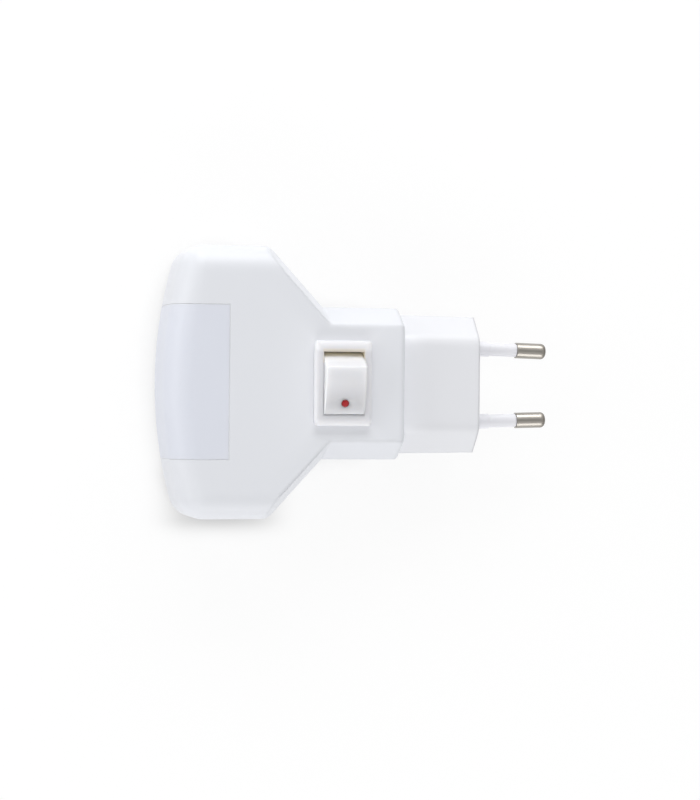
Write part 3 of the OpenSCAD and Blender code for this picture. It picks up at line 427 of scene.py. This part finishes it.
# Painted light and shade: a creamy glow in the mouth, whiter ends and near wall, greyer sides.
low = (1 - z.ease(face_z - 0.6 * MM, face_z - 0.1 * MM)) * (across < 5.4 * MM) * (along < 8.4 * MM)
rim = (1 - along.ease(7.8 * MM, 8.9 * MM)) * (1 - across.ease(4.9 * MM, 5.6 * MM))
painted_cream_glow = place.sum("MAXIMUM", low, rim * 0.8) * (x < -5 * MM)
raised_end = along.ease(7.4 * MM, 8.6 * MM) * (1 - along.ease(9.3 * MM, 10.2 * MM)) * (x < 0)
pressed_end = along.ease(8.6 * MM, 9.6 * MM) * (x > 0) * 0.7
front_wall = (1 - y.ease(-44.1 * MM, -43.6 * MM)) * 0.7
painted_bright = place.sum("MAXIMUM", front_wall, raised_end + pressed_end)
end_round = along.ease(8.2 * MM, 9.0 * MM) * (1.4 * MM) + 0.12 * MM
white = (painted_bright * 0.85 + drift * 0.15).mix(tone(220, 220, 224), tone(240, 240, 243))
feed(frame_white, Base_Color=painted_cream_glow.mix(white, tone(252, 240, 218)),
     Roughness=drift * 0.05 + fine * 0.04 + 0.3, Normal=relief(fine, 0.002 * MM, end_round))
dress(frame_white, "switch_frame")

# A thin lip a little below the bezel's face nearly closes the gap round the rocker. Its opening just
# clears the rocker's pressed end.
lip_x, lip_y, open_x, open_y, lip_t, lip_drop = (v * MM for v in (8.01, 5.18, 7.7, 5.08, 0.2, 0.03))
bm = bmesh.new()
bmesh.ops.create_grid(bm, x_segments=1, y_segments=1, size=1.0)
bmesh.ops.scale(bm, verts=bm.verts, vec=(lip_x, lip_y, 1))
bmesh.ops.inset_individual(bm, faces=bm.faces[:], thickness=0.05 * MM)
opening = min(bm.faces, key=lambda face: max(v.co.length for v in face.verts))
for corner in opening.verts:
    corner.co = (math.copysign(open_x, corner.co.x), math.copysign(open_y, corner.co.y), 0)
bmesh.ops.delete(bm, geom=[opening], context="FACES_ONLY")
thick = bmesh.ops.extrude_face_region(bm, geom=bm.faces[:])["geom"]
bmesh.ops.translate(bm, verts=[v for v in thick if isinstance(v, bmesh.types.BMVert)],
                    vec=(0, 0, -lip_t))
bmesh.ops.translate(bm, verts=bm.verts, vec=(0, switch_y, face_z - lip_drop))
bmesh.ops.recalc_face_normals(bm, faces=bm.faces)
lip = keep_mesh(bm, "mouth_lip", "housing")
lip.data.materials.append(frame_white)


# ---- Rocker ---------------------------------------------------------------------------------------
# A glossy ivory rocker with a crowned face between two end facets, moulded with its axle stubs and
# its hollow stem. Its outer edges are rounded. Its greys, from end to end and on its two sides, are
# matched to the light and shade of the photograph.

def rounded_copy(node, name, radius, choose, steps=3):
    """A copy of a CAD node's mesh in which the sharp edges picked by choose are rounded."""
    bm = bmesh.new()
    bm.from_mesh(nodes[node].data)
    bmesh.ops.remove_doubles(bm, verts=bm.verts, dist=0.002 * MM)
    bmesh.ops.dissolve_limit(bm, angle_limit=math.radians(0.4), verts=bm.verts, edges=bm.edges)
    bmesh.ops.recalc_face_normals(bm, faces=bm.faces)
    sharp = [edge for edge in bm.edges if len(edge.link_faces) == 2
             and edge.calc_face_angle() > 0.35 and choose(edge)]
    bmesh.ops.bevel(bm, geom=sharp, offset=radius, offset_type="OFFSET", segments=steps, profile=0.5,
                    affect="EDGES", material=-1, clamp_overlap=True, loop_slide=True)
    bmesh.ops.recalc_face_normals(bm, faces=bm.faces)
    piece = keep_mesh(bm, name)
    piece.data.polygons.foreach_set("use_smooth", [True] * len(piece.data.polygons))
    piece.data.set_sharp_from_angle(angle=math.radians(38))
    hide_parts(node)
    return piece


axle = Vector((0, switch_y, 9.6 * MM))
lean = math.radians(15)
level = Matrix.Rotation(-lean, 3, "Y")
stem = Vector((math.sin(lean), 0, math.cos(lean)))


def on_face(edge):
    """The ridges between face and facets, and the long sides above the skirts."""
    spots = [level @ (v.co - axle) for v in edge.verts]
    high = all(s.z > 6.8 * MM for s in spots)
    outside = all(abs(s.y) > 5.0 * MM and s.z > 2.1 * MM for s in spots)
    return high or outside


rocker = rounded_copy("rocker", "rocker_skin", 0.35 * MM, on_face)
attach(rocker, "rocker")
rocker_white, place = new_finish("rocker_white", Subsurface_Weight=1.0, Subsurface_Scale=2.5 * MM,
                                 Subsurface_Radius=(1, 0.95, 0.88), IOR=1.5, Coat_Weight=0.2)
fine = grain(place, 6)
drift = grain(place, 0.1, 3)
along = place.axis("X") * (1 / (15 * MM)) + 0.5
# Painted light and shade: greys along the rocker, a white near side and a grey far side.
shades = zip((0.06, 0.1, 0.16, 0.22, 0.26, 0.5, 0.74, 0.84, 0.98),
             (254, 248, 229, 226, 237, 233, 218, 214, 226))
painted_shade_greys = along.node("ValToRGB", {"stops": [(spot, tone(v, v, v + 3)) for spot, v in shades]},
                    {0: along})
height = (place.axis("Z") - axle.z) * math.cos(lean) + place.axis("X") * math.sin(lean)
# Deep in the mouth the rocker is painted cream: a painted glow of light in the gap.
low = 1 - height.ease(2.0 * MM, 2.9 * MM)
near_side = 1 - place.axis("Y").ease(switch_y - 5.0 * MM, switch_y - 4.8 * MM)
far_side = place.axis("Y").ease(switch_y + 4.5 * MM, switch_y + 5.0 * MM)
sides = far_side.mix(near_side.mix(painted_shade_greys, tone(252, 252, 252)), tone(208, 208, 210))
feed(rocker_white, Base_Color=low.mix(sides, tone(254, 247, 232)),
     Roughness=drift * 0.06 + fine * 0.04 + 0.2, Normal=relief(fine, 0.0015 * MM, 0.12 * MM))
rocker.data.materials.clear()
rocker.data.materials.append(rocker_white)


# ---- Red dot --------------------------------------------------------------------------------------
# A disc of clear red plastic pressed into the rocker near its pressed end. Its face is domed and
# lies in a narrow ring-shaped groove. Towards its rim the red is painted darker: painted shade.

corner_low, corner_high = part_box("red_dot")
spot = (corner_low + corner_high) / 2
dot_r = (corner_high.y - corner_low.y) / 2
turn = Matrix.Rotation(lean, 4, "Y")
rim_high, dome_high = 0.36 * MM, 0.2 * MM
top = spot + stem * rim_high
bm = bmesh.new()
bmesh.ops.create_uvsphere(bm, u_segments=40, v_segments=20, radius=1.0)
bmesh.ops.bisect_plane(bm, geom=bm.verts[:] + bm.edges[:] + bm.faces[:], dist=1e-6, plane_co=(0, 0, 0),
                       plane_no=(0, 0, 1), clear_inner=True)
rim_edges = [edge for edge in bm.edges if edge.is_boundary]
skirt = bmesh.ops.extrude_edge_only(bm, edges=rim_edges)["geom"]
bmesh.ops.translate(bm, verts=[v for v in skirt if isinstance(v, bmesh.types.BMVert)], vec=(0, 0, -2.5))
bmesh.ops.holes_fill(bm, edges=[edge for edge in bm.edges if edge.is_boundary], sides=0)
bmesh.ops.scale(bm, verts=bm.verts, vec=(dot_r, dot_r, dome_high))
bmesh.ops.transform(bm, matrix=Matrix.Translation(top) @ turn, verts=bm.verts)
bmesh.ops.recalc_face_normals(bm, faces=bm.faces)
dot = keep_mesh(bm, "dot_lens", "rocker")
dot.data.polygons.foreach_set("use_smooth", [True] * len(dot.data.polygons))
dot.data.set_sharp_from_angle(angle=math.radians(50))
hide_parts("red_dot")
dot_clear, place = new_finish("dot_red", Coat_Weight=0.25, IOR=1.45)
off = place.node("VectorMath", {"operation": "DISTANCE"}, {0: place, 1: top}, "Value")
painted_rim_shade = off.ease(0.45 * dot_r, 1.0 * dot_r)
swirl = grain(place, 1.6, 3)
# Towards the rim the red is painted darker: painted shade.
feed(dot_clear, Base_Color=painted_rim_shade.mix(tone(168, 14, 22), tone(128, 8, 16)),
     Roughness=swirl * 0.08 + 0.18, Normal=relief(swirl, 0.004 * MM))
dot.data.materials.append(dot_clear)


# ---- Plunger and spring ---------------------------------------------------------------------------
# A polished steel plunger slides in the rocker's stem, pushed down by a spring of drawn wire. It
# rides on the see-saw contact. The spring has six turns, closer together at its ends.

plunger_steel = metal("plunger_steel", tone(176, 178, 182), tone(214, 216, 219), 0.22, 0.05, (1, 1, 0.2))
spring_steel = metal("spring_steel", tone(140, 142, 146), tone(186, 188, 192), 0.3, 0.03, (1, 1, 1), 12)
dress(plunger_steel, "rocker_plunger")
wire_r, coil_r, spring_low, spring_high = 0.15 * MM, 0.9 * MM, -2.18 * MM, 2.08 * MM
coils, per_turn, wire_sides, end_rise = 6, 24, 10, 0.36 * MM
rise = (spring_high - spring_low - 2 * wire_r - 2 * end_rise) / (coils - 2)
bm = bmesh.new()
rings = []
for step in range(coils * per_turn + 1):
    turns = step / per_turn
    angle = 2 * math.pi * turns
    wire_z = spring_low + wire_r + end_rise * (min(turns, 1) + max(turns - (coils - 1), 0))
    wire_z += rise * min(max(turns - 1, 0), coils - 2)
    ring = []
    for corner in range(wire_sides):
        round_wire = 2 * math.pi * corner / wire_sides
        out_r = coil_r + wire_r * math.cos(round_wire)
        ring.append(bm.verts.new((out_r * math.cos(angle), out_r * math.sin(angle),
                                  wire_z + wire_r * math.sin(round_wire))))
    rings.append(ring)
for ring, following in zip(rings, rings[1:]):
    for corner in range(wire_sides):
        after = (corner + 1) % wire_sides
        bm.faces.new((ring[corner], ring[after], following[after], following[corner]))
bm.faces.new(rings[0])
bm.faces.new(rings[-1])
bmesh.ops.transform(bm, matrix=Matrix.Translation(axle) @ turn, verts=bm.verts)
bmesh.ops.recalc_face_normals(bm, faces=bm.faces)
coil = keep_mesh(bm, "spring_coil", "rocker")
coil.data.polygons.foreach_set("use_smooth", [True] * len(coil.data.polygons))
coil.data.set_sharp_from_angle(angle=math.radians(60))
coil.data.materials.append(spring_steel)
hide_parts("plunger_spring")
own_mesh(coil)


# ---- Contacts -------------------------------------------------------------------------------------
# The see-saw is a strip of copper alloy on the fulcrum bar. A silver rivet in it meets one in the
# switched terminal. Sparks have dulled both faces.

dress(metal("contact_copper", tone(186, 112, 74), tone(222, 148, 104), 0.3, 0.06, (0.15, 1, 1), 7),
      "seesaw_contact")
dress(metal("contact_silver", tone(150, 148, 144), tone(222, 221, 218), 0.32, 0.06, (1, 1, 1), 3),
      "moving_rivet", "fixed_rivet")


# ---- Terminals ------------------------------------------------------------------------------------
# Stamped brass blades that stand in the switch's floor. Each has a hole for its wire below, and the
# rolling has left streaks along them.

dress(metal("terminal_brass", tone(196, 160, 86), tone(226, 196, 124), 0.3, 0.08, (1, 1, 0.12), 6),
      "common_terminal", "switched_terminal")


# ---- Reflector ------------------------------------------------------------------------------------
# A tray of matt white plastic between the light board and the diffuser. Its flared sides throw the
# light forward.

dress(moulded("reflector_white", tone(238, 238, 237), 0.6, 0.2, 0.01, 0.006, 3), "reflector")


# ---- Light board ----------------------------------------------------------------------------------
# Glass-fibre board with a white mask. Its copper tracks run along X above and below the lamps and
# show as raised bands under the mask.

def board(name, mask_dark, mask_light, track, tracks, edge=0.08):
    """A circuit board: weave under the mask and tracks that stand out a little and look paler."""
    made, place = new_finish(name, Coat_Weight=0.2)
    weave = grain(place, 3.5)
    cloud = grain(place, 0.15)
    line = tracks(place)
    ground = (weave * 0.5 + cloud * 0.5).mix(mask_dark, mask_light)
    feed(made, Base_Color=line.mix(ground, track), Roughness=0.42 - line * 0.08 + weave * 0.06,
         Normal=relief(line + weave * 0.12, 0.03 * MM, edge * MM))
    return made


lamp_pitch = 7.14 * MM


def light_tracks(place):
    """Two bands along the board and short ones between the lamps."""
    x, z = place.axis("X"), abs(place.axis("Z"))
    bands = z.ease(3.4 * MM, 3.7 * MM) * (1 - z.ease(5.6 * MM, 5.9 * MM))
    off_link = abs(place.sum("PINGPONG", x, lamp_pitch / 2) - lamp_pitch / 4)
    links = (off_link < 0.9 * MM) * (z < 3.5 * MM)
    return place.sum("MAXIMUM", bands, links)


dress(board("light_board_white", tone(222, 223, 218), tone(232, 232, 228), tone(236, 234, 222),
            light_tracks), "led_board")


# ---- Lamps ----------------------------------------------------------------------------------------
# Four square lamps soldered on the board: white ceramic cases whose round wells are filled with
# yellow silicone, which is grainy with phosphor and deeper in colour in its middle.

dress(moulded("lamp_case", tone(236, 236, 230), 0.5, 0.1, 0.02, 0.004, 6), "leds")
phosphor, place = new_finish("lamp_phosphor", Subsurface_Weight=0.4, Subsurface_Scale=0.8 * MM,
                             Subsurface_Radius=(1, 0.7, 0.3), Coat_Weight=0.4)
dust = grain(place, 14, 3)
from_chip = abs(place.sum("PINGPONG", place.axis("X"), lamp_pitch) - lamp_pitch / 2)
chip = 1 - (from_chip * from_chip + place.axis("Z") * place.axis("Z")).ease(0.3 * MM * MM, 1.6 * MM * MM)
feed(phosphor, Base_Color=(dust * 0.5 + chip * 0.5).mix(tone(242, 206, 86), tone(226, 168, 44)),
     Roughness=dust * 0.1 + 0.22, Normal=relief(dust, 0.01 * MM, 0.08 * MM))
dress(phosphor, "led_lenses")


# ---- Driver board ---------------------------------------------------------------------------------
# Glass-fibre board with a green mask, riveted on four pegs of the lower shell. Its tracks turn at
# right angles between the parts.

def driver_tracks(place):
    """Tracks that run along the board and cross it, with gaps between them."""
    flat = place.node("Mapping", None, {"Vector": place, "Scale": (1 / MM,) * 3})
    return place.node("TexBrick", {"offset": 0.37, "squash": 1.6, "squash_frequency": 3},
                      {"Vector": flat, "Scale": 1.0, "Mortar Size": 0.34, "Mortar Smooth": 0.08,
                       "Brick Width": 7.3, "Row Height": 2.6}, "Fac")


dress(board("driver_board_green", tone(16, 74, 42), tone(26, 98, 56), tone(52, 128, 74), driver_tracks),
      "driver_board")


# ---- Film capacitor -------------------------------------------------------------------------------
# A wound film in a box of ochre plastic filled with resin. It stands along the board's end and takes
# up the mains voltage.

dress(moulded("film_ochre", tone(198, 158, 66), 0.45, 0.3, 0.06, 0.008, 4), "film_capacitor")


# ---- Smoothing capacitor --------------------------------------------------------------------------
# An aluminium can in a sleeve of shrunk dark film. A pale stripe down the sleeve marks the minus
# side, and the can's top is scored with a cross so that it can open.

low_can, high_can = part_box("smoothing_capacitor")
can = (low_can + high_can) / 2
can_metal, place = new_finish("can_aluminium", Metallic=1.0)
brushed = grain(place.node("Mapping", None, {"Vector": place, "Scale": (1, 1, 0.1)}), 8, 3, 0.6)
cut_x = abs(place.axis("X") - can.x) < 0.16 * MM
cut_y = abs(place.axis("Y") - can.y) < 0.16 * MM
near_top = place.axis("Z") > high_can.z - 0.3 * MM
score = place.sum("MAXIMUM", cut_x, cut_y) * near_top
feed(can_metal, Base_Color=brushed.mix(tone(188, 190, 192), tone(220, 221, 222)),
     Roughness=brushed * 0.14 + 0.24, Normal=relief(1 - score + brushed * 0.04, 0.12 * MM, 0.1 * MM))
dress(can_metal, "smoothing_capacitor")
sleeve_film, place = new_finish("sleeve_dark", Coat_Weight=0.3)
wrinkle = grain(place, 1.2, 3)
stripe = (abs(place.axis("Y") - can.y) < 1.1 * MM) * (place.axis("X") > can.x)
feed(sleeve_film, Base_Color=stripe.mix(wrinkle.mix(tone(24, 27, 36), tone(34, 38, 50)),
                                        tone(176, 182, 190)),
     Roughness=wrinkle * 0.1 + 0.3, Normal=relief(wrinkle, 0.03 * MM, 0.1 * MM))
dress(sleeve_film, "capacitor_sleeve")


# ---- Bridge rectifier -----------------------------------------------------------------------------
# Four diodes in a moulded black package with tinned feet.

def leaded(name, body, rough, depth=0.006):
    """A part with tinned leads. body gives, from the place, its colour and 1 where the body is."""
    made, place = new_finish(name)
    colour, inside = body(place)
    fine = grain(place, 5)
    tin = fine.mix(tone(176, 176, 172), tone(206, 206, 202))
    feed(made, Base_Color=inside.mix(tin, colour), Metallic=1 - inside,
         Roughness=inside * (rough - 0.28) + fine * 0.08 + 0.26,
         Normal=relief(fine, depth * MM, 0.1 * MM))
    return made


def package(place):
    """Black body above the feet."""
    low_end, high_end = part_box("bridge_rectifier")
    across = abs(place.axis("Y") - (low_end.y + high_end.y) / 2)
    inside = (place.axis("Z") > low_end.z + 0.33 * MM) * (across < 2.05 * MM)
    return grain(place, 1.5).mix(tone(30, 30, 32), tone(44, 44, 46)), inside


dress(leaded("package_black", package, 0.55), "bridge_rectifier")


# ---- Resistors ------------------------------------------------------------------------------------
# A fuse resistor in flameproof blue lacquer and a bleed resistor in tan lacquer. Each carries the
# usual colour rings and hangs between two tinned leads.

def lacquered(node, body_l, lacquer, rings):
    """Colour of a resistor along X, with rings at equal steps over the middle of its body."""
    centre = sum(v.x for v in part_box(node)) / 2

    def body(place):
        along = place.axis("X") - centre
        inside = abs(along) < body_l / 2 * MM
        colour = grain(place, 1.2).mix(tone(*(v * 0.93 for v in lacquer)), tone(*lacquer))
        for count, ring in enumerate(rings):
            spot = (count - (len(rings) - 1) / 2) * body_l * 0.17 * MM
            colour = (abs(along - spot) < 0.3 * MM).mix(colour, tone(*ring))
        return colour, inside

    return body


dress(leaded("fuse_lacquer", lacquered("fuse_resistor", 7, (84, 138, 166),
                                       [(122, 66, 30), (24, 24, 24), (24, 24, 24), (196, 160, 60)]),
             0.3, 0.02), "fuse_resistor")
dress(leaded("bleed_lacquer", lacquered("bleed_resistor", 5, (204, 176, 132),
                                        [(176, 40, 32), (110, 50, 140), (214, 196, 60)]),
             0.32, 0.02), "bleed_resistor")


# ---- Wires ----------------------------------------------------------------------------------------
# Stranded wires in soft vinyl, from the pins to the switch and the driver board and on to the light
# board. The vinyl is slightly uneven and greyed by handling.

def vinyl(name, colour):
    return moulded(name, tone(*colour), 0.46, 0.05, 0.08, 0.01, 2.5)


dress(vinyl("wire_brown", (92, 54, 30)), "live_wire")
dress(vinyl("wire_grey", (72, 72, 78)), "switched_wire")
dress(vinyl("wire_blue", (40, 84, 168)), "neutral_wire")
dress(vinyl("wire_red", (172, 30, 30)), "led_wire_plus")
dress(vinyl("wire_black", (30, 30, 32)), "led_wire_minus")
